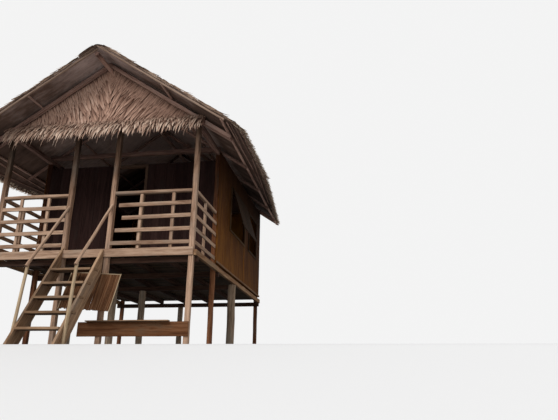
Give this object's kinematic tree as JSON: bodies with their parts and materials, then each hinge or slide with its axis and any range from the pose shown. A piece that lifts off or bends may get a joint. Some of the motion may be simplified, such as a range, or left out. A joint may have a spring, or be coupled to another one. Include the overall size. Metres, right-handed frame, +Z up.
{
  "type": "stilt house",
  "caption": "Small timber house on posts with a palm-thatch gable roof, an open railed veranda, a doorway, side windows and a steep plank stair.",
  "frame": {"origin": "middle of the overall box, on the lowest ground under the posts", "axes": "+Z up, the stair and veranda face -Y, the ridge runs along Y, +X is to the right of someone facing the stair"},
  "size_m": [5.3, 6.74, 5.1172],
  "materials": {
    "post_timber": "weathered",
    "rail_timber": "weathered",
    "frame_timber": "rough sawn",
    "grey_log": "weathered",
    "floor_board": "worn",
    "wall_board": "oiled by weather and smoke",
    "front_board": "dark and dry",
    "casing": "rough sawn",
    "stair_plank": "worn",
    "roof_pole": "peeled round wood",
    "palm_thatch": "dry palm leaf",
    "red_board": "weathered reddish plank",
    "reed": "dry reed"
  },
  "bodies": {
    "root": {"veranda_posts": "post_timber", "room_posts": "post_timber", "wall_studs": "frame_timber", "mid_stilts": "grey_log", "inner_stilts": "grey_log", "cross_beams": "frame_timber", "side_beams": "frame_timber", "floor_joists": "frame_timber", "veranda_floor": "floor_board", "room_floor": "floor_board", "rim_board": "rail_timber", "railing_front_left": "rail_timber", "railing_front_right": "rail_timber", "railing_side_left": "rail_timber", "railing_side_right": "rail_timber", "stringer_left": "stair_plank", "stringer_right": "stair_plank", "stair_treads": "stair_plank", "stair_newels": "post_timber", "stair_handrails": "post_timber", "front_wall_left": "front_board", "front_wall_right": "front_board", "door_frame": "casing", "wall_left": "wall_board", "wall_right": "wall_board", "back_wall": "wall_board", "window_frames": "casing", "window_shutters": "wall_board", "wall_plates": "frame_timber", "tie_beams": "frame_timber", "ridge_pole": "roof_pole", "rafters_left": "roof_pole", "rafters_right": "roof_pole", "rake_poles": "roof_pole", "purlins_left": "roof_pole", "purlins_right": "roof_pole", "thatch_left": "palm_thatch", "thatch_right": "palm_thatch", "ridge_cap": "palm_thatch", "gable_thatch_front": "palm_thatch", "gable_thatch_back": "palm_thatch", "front_skirt": "palm_thatch", "base_board": "red_board", "reed_screen": "reed"}
  },
  "joints": []
}
